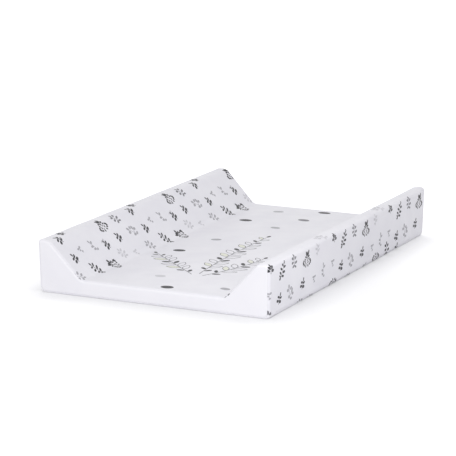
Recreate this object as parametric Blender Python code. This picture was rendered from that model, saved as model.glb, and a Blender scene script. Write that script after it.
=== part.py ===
"""Hard changing mat: a foam tray on a hardboard base, in a welded cover of thin film.

Metres, +Z up. X runs across the mat, Y along it, and the origin is the middle of the underside.
The front end panel faces -Y. Run with: blender --background --python part.py
"""

import math

import bmesh
import bpy

# Overall sizes
MAT_LENGTH = 0.800
MAT_WIDTH = 0.500
BOLSTER_HEIGHT = 0.1045
PAD_HEIGHT = 0.033

# Bolster section, measured inwards from the outer wall
BOLSTER_TOP_WIDTH = 0.027
BOLSTER_REACH = 0.094

# Rounded edges of the section
BOTTOM_EDGE_RADIUS = 0.011
OUTER_TOP_RADIUS = 0.006
INNER_TOP_RADIUS = 0.012
FOLD_RADIUS = 0.022
LEAST_RADIUS = 0.001

# Film cover: the ends of the printed film roll over, and the end panels take up the rest of the roll
FILM_THICKNESS = 0.0005
END_ROLL_RADIUS = 0.007
END_SEAM_ANGLE = math.radians(35)

# The seam with the bottom film lies low on the edge, and sweeps up it towards the corners
SEAM_ANGLE_ALONG_SIDE = math.radians(38)
SEAM_ANGLE_AT_CORNER = math.radians(76)
SEAM_SWEEP_LENGTH = 0.22

# Soft forms
PAD_CROWN = 0.004
SLOPE_SWELL = 0.0015
FADE_POWER = 4

# Hardboard base
BOARD_THICKNESS = 0.003
BOARD_CORNER_RADIUS = 0.014

# Vents pierced in the underside, which let the air out when the foam is pressed
VENT_DIAMETER = 0.006
VENT_FROM_END = 0.060
VENT_SPACING = 0.030
VENTS_PER_END = 3

# Running gap between pieces that touch
CLEARANCE = 0.0003

# How finely the curved stretches are divided
EDGE_STEPS = 4
TOP_STEPS = 4
SHOULDER_STEPS = 3
SLOPE_STEPS = 4
FOLD_STEPS = 4
PAD_STEPS = 8
ROLL_STEPS = 3
LENGTH_STEPS = 12
CORNER_STEPS = 6
VENT_SIDES = 16

SLOPE_ANGLE = math.atan2(BOLSTER_HEIGHT - PAD_HEIGHT, BOLSTER_REACH - BOLSTER_TOP_WIDTH)
FOLD_CENTRE_IN = BOLSTER_REACH + FOLD_RADIUS * math.tan(SLOPE_ANGLE / 2)
PAD_HALF_WIDTH = MAT_WIDTH / 2 - FOLD_CENTRE_IN
FLAT_HALF_LENGTH = MAT_LENGTH / 2 - END_ROLL_RADIUS
FOAM_DEPTH = FILM_THICKNESS + CLEARANCE
BOARD_UNDERSIDE = FILM_THICKNESS + CLEARANCE
BOARD_TOP = BOARD_UNDERSIDE + BOARD_THICKNESS
FOAM_UNDERSIDE = BOARD_TOP + CLEARANCE


def blend(start, end, steps):
    """steps + 1 values from start to end."""
    return [start + (end - start) * step / steps for step in range(steps + 1)]


def fade(y):
    """1 in the middle of the length and 0 from where the ends start to roll."""
    return max(0.0, 1 - (abs(y) / FLAT_HALF_LENGTH) ** FADE_POWER)


def seam_angle(y):
    """Where the seam with the bottom film lies on the rounded bottom edge, up from the underside."""
    into_sweep = (abs(y) - (MAT_LENGTH / 2 - SEAM_SWEEP_LENGTH)) / SEAM_SWEEP_LENGTH
    share = min(1.0, max(0.0, into_sweep))
    smooth = share * share * (3 - 2 * share)
    return SEAM_ANGLE_ALONG_SIDE + (SEAM_ANGLE_AT_CORNER - SEAM_ANGLE_ALONG_SIDE) * smooth


# Section of one side. Points are (distance in from the outer wall, height), and inset is how far the
# surface lies inside the outer skin of the full section.


def bottom_edge(inset, start, end, steps):
    radius = max(BOTTOM_EDGE_RADIUS - inset, LEAST_RADIUS)
    centre = inset + radius
    angles = blend(start, end, steps)
    return [(centre - radius * math.sin(a), centre - radius * math.cos(a)) for a in angles]


def outer_top_edge(inset):
    radius = max(OUTER_TOP_RADIUS - inset, LEAST_RADIUS)
    centre_in = inset + radius
    centre_up = BOLSTER_HEIGHT - inset - radius
    angles = blend(0, math.pi / 2, TOP_STEPS)
    return [(centre_in - radius * math.cos(a), centre_up + radius * math.sin(a)) for a in angles]


def shoulder(inset):
    radius = max(INNER_TOP_RADIUS - inset, LEAST_RADIUS)
    half_turn = math.tan(SLOPE_ANGLE / 2)
    centre_in = BOLSTER_TOP_WIDTH - (inset + radius) * half_turn
    centre_up = BOLSTER_HEIGHT - inset - radius
    angles = blend(0, SLOPE_ANGLE, SHOULDER_STEPS)
    return [(centre_in + radius * math.sin(a), centre_up + radius * math.cos(a)) for a in angles]


def fold(inset, start, end, steps):
    """The hollow curve between slope and pad. Angle 0 is where it meets the pad."""
    radius = FOLD_RADIUS + inset
    centre_up = PAD_HEIGHT + FOLD_RADIUS
    angles = blend(start, end, steps)
    return [(FOLD_CENTRE_IN - radius * math.sin(a), centre_up - radius * math.cos(a)) for a in angles]


def split_angle(inset, distance_in):
    """Where a vertical plane this far in from the wall crosses the fold."""
    return math.asin((FOLD_CENTRE_IN - distance_in) / (FOLD_RADIUS + inset))


def slope(top, bottom, y):
    """Points between the shoulder's last and the fold's first, swelling out of the straight line."""
    points = []
    for step in range(1, SLOPE_STEPS):
        share = step / SLOPE_STEPS
        swell = SLOPE_SWELL * 4 * share * (1 - share) * fade(y)
        distance_in = top[0] + (bottom[0] - top[0]) * share + swell * math.sin(SLOPE_ANGLE)
        height = top[1] + (bottom[1] - top[1]) * share + swell * math.cos(SLOPE_ANGLE)
        points.append((distance_in, height))
    return points


def bolster_top(inset, y, fold_end, fold_steps, swollen=True):
    """From the top of the outer wall over the bolster and down to an angle on the fold."""
    over = outer_top_edge(inset) + shoulder(inset)
    down = fold(inset, SLOPE_ANGLE, fold_end, fold_steps)
    between = slope(over[-1], down[0], y) if swollen else []
    return over + between + down


def on_right(points, y):
    return [(MAT_WIDTH / 2 - distance_in, y, height) for distance_in, height in points]


def on_left(points, y):
    return [(distance_in - MAT_WIDTH / 2, y, height) for distance_in, height in reversed(points)]


def pad_surface(inset, y):
    """The crowned surface between the two folds, right to left, without its two ends."""
    points = []
    for step in range(1, PAD_STEPS):
        x = PAD_HALF_WIDTH * (1 - 2 * step / PAD_STEPS)
        crown = PAD_CROWN * (1 - (x / PAD_HALF_WIDTH) ** 2) * fade(y)
        points.append((x, y, PAD_HEIGHT - inset + crown))
    return points


# Stations along the mat are (inset, y). A surface at some depth under the outer skin rolls round the
# same centre line at each end as the skin does.


def rolled_station(depth, angle, end):
    radius = END_ROLL_RADIUS - depth
    return depth + radius * (1 - math.cos(angle)), end * (FLAT_HALF_LENGTH + radius * math.sin(angle))


def stations(depth, last_angle):
    """From the front end to the rear, each end rolled as far as last_angle."""
    roll = [rolled_station(depth, angle, 1) for angle in blend(0, last_angle, ROLL_STEPS)[1:]]
    middle = [(depth, y) for y in blend(-FLAT_HALF_LENGTH, FLAT_HALF_LENGTH, LENGTH_STEPS)]
    front = [(inset, -y) for inset, y in reversed(roll)]
    return front + middle + roll


# Meshes


def finish_object(name, vertices, faces, colour, roughness):
    mesh = bpy.data.meshes.new(name)
    mesh.from_pydata(vertices, [], faces)
    shaped = bmesh.new()
    shaped.from_mesh(mesh)
    bmesh.ops.recalc_face_normals(shaped, faces=shaped.faces)
    shaped.to_mesh(mesh)
    shaped.free()
    mesh.shade_smooth()
    mesh.set_sharp_from_angle(angle=math.radians(40))
    material = bpy.data.materials.new(name)
    material.use_nodes = True
    surface = material.node_tree.nodes["Principled BSDF"]
    surface.inputs["Base Color"].default_value = (*colour, 1)
    surface.inputs["Roughness"].default_value = roughness
    surface.inputs["Metallic"].default_value = 0
    mesh.materials.append(material)
    made = bpy.data.objects.new(name, mesh)
    bpy.context.collection.objects.link(made)
    return made


def grid_faces(first, rows, columns, closed=False):
    """Quads between neighbouring rows of a grid of vertices, which starts at index first."""
    faces = []
    for row in range(rows - 1):
        for column in range(columns if closed else columns - 1):
            beside = (column + 1) % columns
            low = first + row * columns
            high = low + columns
            faces.append((low + column, low + beside, high + beside, high + column))
    return faces


def film_sheet(name, outer, inner, colour, roughness):
    """A thin sheet between two open grids of points, closed round its rim."""
    rows = len(outer)
    columns = len(outer[0])
    count = rows * columns
    faces = grid_faces(0, rows, columns) + grid_faces(count, rows, columns)
    rim = [column for column in range(columns)]
    rim += [row * columns + columns - 1 for row in range(1, rows)]
    rim += [(rows - 1) * columns + column for column in range(columns - 2, -1, -1)]
    rim += [row * columns for row in range(rows - 2, 0, -1)]
    for here, after in zip(rim, rim[1:] + rim[:1]):
        faces.append((here, after, count + after, count + here))
    vertices = [point for row in outer + inner for point in row]
    return finish_object(name, vertices, faces, colour, roughness)


def film_dish(name, outer, inner, colour, roughness):
    """A thin panel with a rolled rim: rings of points that end in a flat face, inside and out."""
    rings = len(outer)
    around = len(outer[0])
    count = rings * around
    faces = grid_faces(0, rings, around, closed=True) + grid_faces(count, rings, around, closed=True)
    for column in range(around):
        beside = (column + 1) % around
        faces.append((column, beside, count + beside, count + column))
    faces.append(tuple(range(count - around, count)))
    faces.append(tuple(range(2 * count - around, 2 * count)))
    vertices = [point for ring in outer + inner for point in ring]
    return finish_object(name, vertices, faces, colour, roughness)


def solid_bar(name, rings, colour, roughness):
    """A solid through rings of points, with a flat face at each end."""
    around = len(rings[0])
    faces = grid_faces(0, len(rings), around, closed=True)
    faces.append(tuple(range(around)))
    faces.append(tuple(range((len(rings) - 1) * around, len(rings) * around)))
    vertices = [point for ring in rings for point in ring]
    return finish_object(name, vertices, faces, colour, roughness)


# Pieces

WHITE_FILM = (0.88, 0.88, 0.90)
PRINTED_FILM = (0.83, 0.83, 0.86)
FOAM = (0.86, 0.83, 0.70)
HARDBOARD = (0.36, 0.22, 0.12)


def make_base_board():
    """A cut sheet of hardboard with rounded corners, inside the rounded bottom edge of the cover."""
    half_width = MAT_WIDTH / 2 - BOTTOM_EDGE_RADIUS
    half_length = FLAT_HALF_LENGTH
    radius = BOARD_CORNER_RADIUS
    corners = [(1, 1, 0), (-1, 1, 1), (-1, -1, 2), (1, -1, 3)]
    outline = []
    for side, end, quarter in corners:
        centre = (side * (half_width - radius), end * (half_length - radius))
        for angle in blend(quarter * math.pi / 2, (quarter + 1) * math.pi / 2, CORNER_STEPS):
            outline.append((centre[0] + radius * math.cos(angle), centre[1] + radius * math.sin(angle)))
    rings = [[(x, y, z) for x, y in outline] for z in (BOARD_UNDERSIDE, BOARD_TOP)]
    return solid_bar("base_board", rings, HARDBOARD, 0.8)


def foam_underside(inset):
    """Foam stands on the board, and lifts off it only where the end roll is higher than the board."""
    return max(FOAM_UNDERSIDE, inset)


def make_centre_foam():
    """The pad: crowned on top, with hollow upper edges that carry on the bolsters' folds."""
    side = BOLSTER_REACH + CLEARANCE / 2
    rings = []
    for inset, y in stations(FOAM_DEPTH, math.pi / 2):
        edge = fold(inset, split_angle(inset, side), 0, FOLD_STEPS // 2)
        low = foam_underside(inset)
        foot = [(side, low)]
        ring = on_right(foot + edge, y) + pad_surface(inset, y) + on_left(foot + edge, y)
        rings.append(ring)
    return solid_bar("centre_foam", rings, FOAM, 0.9)


def make_bolster_foam(name, place):
    """A wedge of foam: upright outer wall, narrow top, long slope, and an upright step against the pad."""
    side = BOLSTER_REACH - CLEARANCE / 2
    rings = []
    for inset, y in stations(FOAM_DEPTH, math.pi / 2):
        low = foam_underside(inset)
        radius = max(BOTTOM_EDGE_RADIUS - inset, LEAST_RADIUS)
        start = math.acos((inset + radius - low) / radius)
        section = [(side, low)]
        section += bottom_edge(inset, start, math.pi / 2, EDGE_STEPS)
        section += bolster_top(inset, y, split_angle(inset, side), FOLD_STEPS)
        rings.append(place(section, y))
    return solid_bar(name, rings, FOAM, 0.9)


def make_printed_cover():
    """One sheet of film from the seam on one bottom edge, over everything, to the seam on the other."""
    seam_gap = CLEARANCE / 2 / BOTTOM_EDGE_RADIUS
    sides = []
    for depth in (0, FILM_THICKNESS):
        grid = []
        for inset, y in stations(depth, END_SEAM_ANGLE):
            side = bottom_edge(inset, seam_angle(y) + seam_gap, math.pi / 2, EDGE_STEPS)
            side += bolster_top(inset, y, 0, FOLD_STEPS)
            grid.append(on_right(side, y) + pad_surface(inset, y) + on_left(side, y))
        sides.append(grid)
    return film_sheet("printed_cover", sides[0], sides[1], PRINTED_FILM, 0.35)


def make_end_panel(name, end):
    """A U-shaped panel whose rim turns over all round to meet the rolled edges of the other films."""
    seam_gap = CLEARANCE / END_ROLL_RADIUS
    sides = []
    for depth in (0, FILM_THICKNESS):
        rings = []
        for angle in blend(END_SEAM_ANGLE + seam_gap, math.pi / 2, ROLL_STEPS):
            inset, y = rolled_station(depth, angle, end)
            side = bottom_edge(inset, 0, math.pi / 2, EDGE_STEPS)
            side += bolster_top(inset, y, 0, FOLD_STEPS, swollen=False)
            rings.append(on_right(side, y) + on_left(side, y))
        sides.append(rings)
    return film_dish(name, sides[0], sides[1], WHITE_FILM, 0.3)


def make_bottom_cover():
    """The flat film under the board, turned up round both long edges as far as the seam."""
    seam_gap = CLEARANCE / 2 / BOTTOM_EDGE_RADIUS
    sides = []
    for depth in (0, FILM_THICKNESS):
        grid = []
        for inset, y in stations(depth, END_SEAM_ANGLE):
            edge = bottom_edge(inset, seam_angle(y) - seam_gap, 0, EDGE_STEPS)
            grid.append(on_right(edge, y) + on_left(edge, y))
        sides.append(grid)
    cover = film_sheet("bottom_cover", sides[0], sides[1], WHITE_FILM, 0.4)
    for end in (-1, 1):
        for place in range(VENTS_PER_END):
            across = (place - (VENTS_PER_END - 1) / 2) * VENT_SPACING
            pierce(cover, across, end * (MAT_LENGTH / 2 - VENT_FROM_END))
    return cover


def pierce(cover, x, y):
    """Cuts one round vent through the film, with a hidden drill."""
    reach = FILM_THICKNESS
    bpy.ops.mesh.primitive_cylinder_add(
        vertices=VENT_SIDES,
        radius=VENT_DIAMETER / 2,
        depth=FILM_THICKNESS + 2 * reach,
        location=(x, y, FILM_THICKNESS / 2),
    )
    drill = bpy.context.object
    drill.name = "vent_drill"
    drill.hide_render = True
    drill.display_type = "WIRE"
    cut = cover.modifiers.new("vent", "BOOLEAN")
    cut.operation = "DIFFERENCE"
    cut.object = drill


for leftover in list(bpy.data.objects):
    bpy.data.objects.remove(leftover)

make_base_board()
make_centre_foam()
make_bolster_foam("left_bolster_foam", on_left)
make_bolster_foam("right_bolster_foam", on_right)
make_printed_cover()
make_end_panel("front_end_panel", -1)
make_end_panel("rear_end_panel", 1)
make_bottom_cover()
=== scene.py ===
"""The looks of a hard changing mat: foam on a hardboard base, in a welded cover of printed and white film.

Metres, +Z up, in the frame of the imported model. The front end panel faces -Y.
"""

import math
import random

import bpy
import numpy as np
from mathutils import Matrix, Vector
from mathutils.geometry import delaunay_2d_cdt


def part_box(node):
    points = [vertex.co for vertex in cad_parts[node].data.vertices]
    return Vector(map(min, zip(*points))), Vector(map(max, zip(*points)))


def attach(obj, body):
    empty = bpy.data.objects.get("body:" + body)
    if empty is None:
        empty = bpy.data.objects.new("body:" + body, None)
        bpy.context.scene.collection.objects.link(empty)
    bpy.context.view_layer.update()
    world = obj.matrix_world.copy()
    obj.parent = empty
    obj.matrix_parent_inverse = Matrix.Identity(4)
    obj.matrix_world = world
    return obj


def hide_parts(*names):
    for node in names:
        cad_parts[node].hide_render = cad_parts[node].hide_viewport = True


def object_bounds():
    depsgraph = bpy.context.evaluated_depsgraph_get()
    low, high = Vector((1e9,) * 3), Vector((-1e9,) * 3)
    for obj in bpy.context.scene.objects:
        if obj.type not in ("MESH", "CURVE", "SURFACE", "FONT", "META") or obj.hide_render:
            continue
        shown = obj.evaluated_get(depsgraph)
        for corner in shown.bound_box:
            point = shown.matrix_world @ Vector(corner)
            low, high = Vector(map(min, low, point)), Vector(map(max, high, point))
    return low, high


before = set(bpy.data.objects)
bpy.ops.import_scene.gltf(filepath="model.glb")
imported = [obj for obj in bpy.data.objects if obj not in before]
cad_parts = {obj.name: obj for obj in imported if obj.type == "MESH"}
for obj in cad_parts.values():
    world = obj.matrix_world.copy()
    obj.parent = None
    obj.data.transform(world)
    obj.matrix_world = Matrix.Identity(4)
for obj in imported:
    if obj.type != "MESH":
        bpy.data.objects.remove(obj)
cad_low, cad_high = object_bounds()
MAT_LENGTH = cad_high.y - cad_low.y
MAT_WIDTH = cad_high.x - cad_low.x
BOLSTER_HEIGHT = cad_high.z - cad_low.z

# Camera
# A long lens some way off, low in front of the mat and to the right of its middle line, as in the photo.
CAMERA_AZIMUTH = math.radians(25.8)
CAMERA_ELEVATION = math.radians(12.7)
CAMERA_DISTANCE = 5.03
CAMERA_LENS_MM = 188.2
CAMERA_AIM = Vector((-0.0662, 0.0752, 0.05))

camera = bpy.data.objects.new("camera", bpy.data.cameras.new("camera"))
bpy.context.scene.collection.objects.link(camera)
flat_part = math.cos(CAMERA_ELEVATION)
back_x = math.sin(CAMERA_AZIMUTH) * flat_part
back_y = -math.cos(CAMERA_AZIMUTH) * flat_part
camera_back = Vector((back_x, back_y, math.sin(CAMERA_ELEVATION)))
camera.location = CAMERA_AIM + camera_back * CAMERA_DISTANCE
camera.rotation_mode = "QUATERNION"
camera.rotation_quaternion = (-camera_back).to_track_quat("-Z", "Y")
camera.data.sensor_width = 36
camera.data.lens = CAMERA_LENS_MM
camera.data.clip_start = 0.1
camera.data.clip_end = 60
bpy.context.scene.camera = camera


# Base board
# A cut sheet of 3 mm hardboard, pressed from wood fibre, loose inside the bottom of the cover. It is
# the stiffener that makes this a hard mat. Its edges are sawn and its corners rounded.
FIBRE_LENGTH_MM = 2.5
BOARD_CLOUD_MM = 35
BOARD_CLOUD_SHARE = 0.3
MILLIMETRE = 0.001


def linear(hex_colour):
    """A colour written as sRGB hex, such as "8a6a48", as the linear values that a shader takes."""
    levels = [int(hex_colour[place : place + 2], 16) / 255 for place in (0, 2, 4)]
    return [v / 12.92 if v <= 0.04045 else ((v + 0.055) / 1.055) ** 2.4 for v in levels] + [1]


def add_node(material, kind, links=None, **settings):
    """Adds a node. Settings are its properties or inputs, by name. Links feed inputs from other nodes."""
    node = material.node_tree.nodes.new("ShaderNode" + kind)
    for name, value in settings.items():
        if hasattr(node, name):
            setattr(node, name, value)
    for name, value in settings.items():
        if not hasattr(node, name):
            node.inputs[name.replace("_", " ")].default_value = value
    for name, source in (links or {}).items():
        material.node_tree.links.new(source, node.inputs[name])
    return node


def new_material(name, colour, roughness):
    material = bpy.data.materials.new(name)
    material.use_nodes = True
    surface = material.node_tree.nodes["Principled BSDF"]
    surface.inputs["Base Color"].default_value = linear(colour)
    surface.inputs["Roughness"].default_value = roughness
    return material, surface


def feed(material, source, surface, name):
    material.node_tree.links.new(source, surface.inputs[name])


def noise_of_size(material, size_mm, detail=2):
    """A noise whose lumps are about this many millimetres across, the same all over the object."""
    place = add_node(material, "TexCoord").outputs["Object"]
    scale = 1 / (size_mm * MILLIMETRE)
    return add_node(material, "TexNoise", {"Vector": place}, Scale=scale, Detail=detail).outputs["Fac"]


def tint_between(material, surface, factor, low, high, dark, pale):
    """Gives the surface a colour that goes from dark to pale as the factor goes from low to high."""
    ramp = add_node(material, "ValToRGB", {"Fac": factor})
    ramp.color_ramp.elements[0].position = low
    ramp.color_ramp.elements[0].color = linear(dark)
    ramp.color_ramp.elements[1].position = high
    ramp.color_ramp.elements[1].color = linear(pale)
    feed(material, ramp.outputs["Color"], surface, "Base Color")


def make_hardboard():
    """Hardboard: brown pressed fibre, matt, with short pale fibres and faint clouds."""
    material, surface = new_material("pressed_hardboard", "8a6544", roughness=0.75)
    fibre = noise_of_size(material, FIBRE_LENGTH_MM, detail=6)
    cloud = noise_of_size(material, BOARD_CLOUD_MM)
    faint_cloud = add_node(material, "Math", {0: cloud}, operation="MULTIPLY")
    faint_cloud.inputs[1].default_value = BOARD_CLOUD_SHARE
    mixed = add_node(material, "Math", {0: fibre, 2: faint_cloud.outputs[0]}, operation="MULTIPLY_ADD")
    mixed.inputs[1].default_value = 1 - BOARD_CLOUD_SHARE
    tint_between(material, surface, mixed.outputs[0], 0.38, 0.62, "6f4d30", "a07b56")
    relief = add_node(material, "Bump", {"Height": fibre}, Strength=0.5, Distance=0.0001)
    feed(material, relief.outputs["Normal"], surface, "Normal")
    return material


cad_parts["base_board"].data.materials.clear()
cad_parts["base_board"].data.materials.append(make_hardboard())


# Foam
# Three blocks of pale, open-celled polyurethane foam, cut with a hot wire: a flat pad, and on each side
# of it a wedge with an upright outer wall, a narrow top and a long slope. Their cut gives the mat its
# section, which the film then follows all over.
PAD_HEIGHT = 0.033
BOLSTER_TOP_WIDTH = 0.027
BOLSTER_REACH = 0.094
BOTTOM_EDGE_RADIUS = 0.011
OUTER_TOP_RADIUS = 0.006
INNER_TOP_RADIUS = 0.012
FOLD_RADIUS = 0.022
LEAST_RADIUS = 0.001
END_ROLL_RADIUS = 0.007
FILM_THICKNESS = 0.0005
CLEARANCE = 0.0003
PAD_CROWN = 0.004
SLOPE_SWELL = 0.0015
FADE_POWER = 4
STATION_STEP = 0.02
SHARP_EDGE = math.radians(50)
FOAM_CELL_MM = 1.6

# How far the soft foam and the taut film settle from that form
LEAN_AT_TOP = 0.0022
LEAN_AT_FOOT = -0.0013
SIDE_LEAN_WIDTH = 0.11
END_LEAN_WIDTH = 0.04
END_PINCH = 0.0014
END_RISE = 0.0032
END_RISE_IN = 0.011
END_RISE_WIDTH = 0.010
END_RISE_REACH = 0.011
FOOT_PRESS = 0.0028
FOOT_PRESS_REACH = 0.009

SLOPE_ANGLE = math.atan2(BOLSTER_HEIGHT - PAD_HEIGHT, BOLSTER_REACH - BOLSTER_TOP_WIDTH)
SLOPE_SINE = math.sin(SLOPE_ANGLE)
SLOPE_COSINE = math.cos(SLOPE_ANGLE)
HALF_TURN = math.tan(SLOPE_ANGLE / 2)
FOLD_CENTRE_IN = BOLSTER_REACH + FOLD_RADIUS * HALF_TURN
PAD_HALF_WIDTH = MAT_WIDTH / 2 - FOLD_CENTRE_IN
FLAT_HALF_LENGTH = MAT_LENGTH / 2 - END_ROLL_RADIUS
SLOPE_RUN = math.hypot(BOLSTER_HEIGHT - PAD_HEIGHT, BOLSTER_REACH - BOLSTER_TOP_WIDTH)

# The stretches of half a section, from the middle of the pad out, down and under to the middle again
STRETCHES = [
    PAD_HALF_WIDTH,
    FOLD_RADIUS * SLOPE_ANGLE,
    SLOPE_RUN - (FOLD_RADIUS + INNER_TOP_RADIUS) * HALF_TURN,
    INNER_TOP_RADIUS * SLOPE_ANGLE,
    BOLSTER_TOP_WIDTH - INNER_TOP_RADIUS * HALF_TURN - OUTER_TOP_RADIUS,
    OUTER_TOP_RADIUS * math.pi / 2,
    BOLSTER_HEIGHT - OUTER_TOP_RADIUS - BOTTOM_EDGE_RADIUS,
    BOTTOM_EDGE_RADIUS * math.pi / 2,
    MAT_WIDTH / 2 - BOTTOM_EDGE_RADIUS,
]
BORDERS = [sum(STRETCHES[:place]) for place in range(len(STRETCHES) + 1)]
FOLD_FOOT, FOLD_HEAD, SHOULDER_FOOT, SHOULDER_HEAD = BORDERS[1:5]
OUTER_EDGE, WALL_TOP, WALL_FOOT, EDGE_FOOT, HALF_GIRTH = BORDERS[5:]


def rolled(along, depth):
    """(inset, y) at a distance along the mat from its middle, for a surface at this depth in the film."""
    angle = np.clip((np.abs(along) - FLAT_HALF_LENGTH) / END_ROLL_RADIUS, 0, math.pi / 2)
    radius = END_ROLL_RADIUS - depth
    inset = depth + radius * (1 - np.cos(angle))
    reach = np.minimum(np.abs(along), FLAT_HALF_LENGTH) + radius * np.sin(angle)
    return inset, np.sign(along) * reach


def eased(value):
    """0 up to 0 and 1 from 1 on, with a smooth rise between."""
    share = np.clip(value, 0, 1)
    return share * share * (3 - 2 * share)


def settled(points):
    """Points moved as soft foam and taut film are: the walls lean out, the bolsters' ends dome up."""
    x, y, z = np.moveaxis(points, -1, 0)
    lean = LEAN_AT_FOOT + (LEAN_AT_TOP - LEAN_AT_FOOT) * z / BOLSTER_HEIGHT
    near_side = eased((np.abs(x) - MAT_WIDTH / 2 + SIDE_LEAN_WIDTH) / SIDE_LEAN_WIDTH)
    near_end = eased((np.abs(y) - MAT_LENGTH / 2 + END_LEAN_WIDTH) / END_LEAN_WIDTH)
    tip = np.exp((np.abs(y) - MAT_LENGTH / 2) / END_RISE_REACH)
    dome = np.exp(-(((MAT_WIDTH / 2 - np.abs(x) - END_RISE_IN) / END_RISE_WIDTH) ** 2))
    above = np.clip((z - PAD_HEIGHT) / (BOLSTER_HEIGHT - PAD_HEIGHT), 0, 1)
    moved_x = x + np.sign(x) * near_side * (lean - END_PINCH * tip * above)
    moved_y = y + np.sign(y) * near_end * lean
    return np.stack([moved_x, moved_y, z + END_RISE * tip * dome * above**4], axis=-1)


def pressed(points):
    """Points of the film with its rounded foot pressed down on to the floor by the mat's weight."""
    height = points[..., 2]
    lowered = np.maximum(height - FOOT_PRESS * np.exp(-height / FOOT_PRESS_REACH), 0)
    return np.concatenate([points[..., :2], lowered[..., None]], axis=-1)


def mat_surface(across, along, depth=0.0):
    """Points of the mat's skin: across follows the section from the middle of the pad, + to the right."""
    across, along = np.broadcast_arrays(np.asarray(across, float), np.asarray(along, float))
    inset, y = rolled(along, depth)
    out = np.abs(across)
    stretch = np.clip(np.searchsorted(BORDERS, out, side="right") - 1, 0, len(STRETCHES) - 1)
    share = np.clip((out - np.array(BORDERS)[stretch]) / np.array(STRETCHES)[stretch], 0, 1)
    fade = np.clip(1 - (np.abs(y) / FLAT_HALF_LENGTH) ** FADE_POWER, 0, 1)

    fold_radius = FOLD_RADIUS + inset
    fold_up = PAD_HEIGHT + FOLD_RADIUS
    shoulder_radius = np.maximum(INNER_TOP_RADIUS - inset, LEAST_RADIUS)
    shoulder_in = BOLSTER_TOP_WIDTH - (inset + shoulder_radius) * HALF_TURN
    shoulder_up = BOLSTER_HEIGHT - inset - shoulder_radius
    outer_radius = np.maximum(OUTER_TOP_RADIUS - inset, LEAST_RADIUS)
    outer_in = inset + outer_radius
    outer_up = BOLSTER_HEIGHT - inset - outer_radius
    edge_radius = np.maximum(BOTTOM_EDGE_RADIUS - inset, LEAST_RADIUS)
    edge = inset + edge_radius

    slope_foot = (FOLD_CENTRE_IN - fold_radius * SLOPE_SINE, fold_up - fold_radius * SLOPE_COSINE)
    slope_head = (shoulder_in + shoulder_radius * SLOPE_SINE, shoulder_up + shoulder_radius * SLOPE_COSINE)
    swell = SLOPE_SWELL * 4 * share * (1 - share) * fade
    fold_turn = share * SLOPE_ANGLE
    shoulder_turn = (1 - share) * SLOPE_ANGLE
    quarter = (1 - share) * math.pi / 2
    # For each stretch, how far in from the side it lies and how high
    runs = [
        (MAT_WIDTH / 2 - share * PAD_HALF_WIDTH, PAD_HEIGHT - inset + PAD_CROWN * (1 - share**2) * fade),
        (FOLD_CENTRE_IN - fold_radius * np.sin(fold_turn), fold_up - fold_radius * np.cos(fold_turn)),
        (
            slope_foot[0] + (slope_head[0] - slope_foot[0]) * share + swell * SLOPE_SINE,
            slope_foot[1] + (slope_head[1] - slope_foot[1]) * share + swell * SLOPE_COSINE,
        ),
        (
            shoulder_in + shoulder_radius * np.sin(shoulder_turn),
            shoulder_up + shoulder_radius * np.cos(shoulder_turn),
        ),
        (shoulder_in + (outer_in - shoulder_in) * share, BOLSTER_HEIGHT - inset),
        (outer_in - outer_radius * np.cos(quarter), outer_up + outer_radius * np.sin(quarter)),
        (inset, outer_up + (edge - outer_up) * share),
        (edge - edge_radius * np.sin(quarter), edge - edge_radius * np.cos(quarter)),
        (edge + (MAT_WIDTH / 2 - edge) * share, inset),
    ]
    distance_in, height = (np.choose(stretch, every) for every in zip(*runs))
    x = np.sign(across) * (MAT_WIDTH / 2 - distance_in)
    return settled(np.stack([x, y, height], axis=-1))


def spaced(start, end, step):
    """Evenly spaced values from start to end, about a step apart."""
    return np.linspace(start, end, max(2, round(abs(end - start) / step) + 1))


def mesh_object(name, points, faces, material, normals=None):
    mesh = bpy.data.meshes.new(name)
    mesh.from_pydata([tuple(p) for p in points], [], [tuple(f) for f in faces])
    mesh.shade_smooth()
    if normals is not None:
        mesh.normals_split_custom_set_from_vertices([tuple(n) for n in normals])
    mesh.materials.append(material)
    made = bpy.data.objects.new(name, mesh)
    bpy.context.scene.collection.objects.link(made)
    return made


def ring_faces(rings, around):
    """Four-sided faces between closed rings that have so many points each."""
    faces = []
    for low in range(0, (rings - 1) * around, around):
        for column in range(around):
            beside = (column + 1) % around
            faces.append((low + column, low + beside, low + around + beside, low + around + column))
    return faces


def make_foam_material():
    """Polyurethane foam: pale cream, quite matt, full of open cells a millimetre or two across; painted
    shade darkens the hollow of each cell.
    """
    material, surface = new_material("open_celled_foam", "e9e2c8", roughness=0.95)
    place = add_node(material, "TexCoord").outputs["Object"]
    cells = add_node(material, "TexVoronoi", {"Vector": place}, Scale=1 / (FOAM_CELL_MM * MILLIMETRE))
    # Painted shade: the colour darkens towards each cell's middle, where the bump is lowest
    tint_between(material, surface, cells.outputs["Distance"], 0.05, 0.7, "cfc49d", "f0ead4")
    relief = add_node(material, "Bump", {"Height": cells.outputs["Distance"]}, Strength=0.6, Distance=0.0006)
    feed(material, relief.outputs["Normal"], surface, "Normal")
    return material


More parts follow.
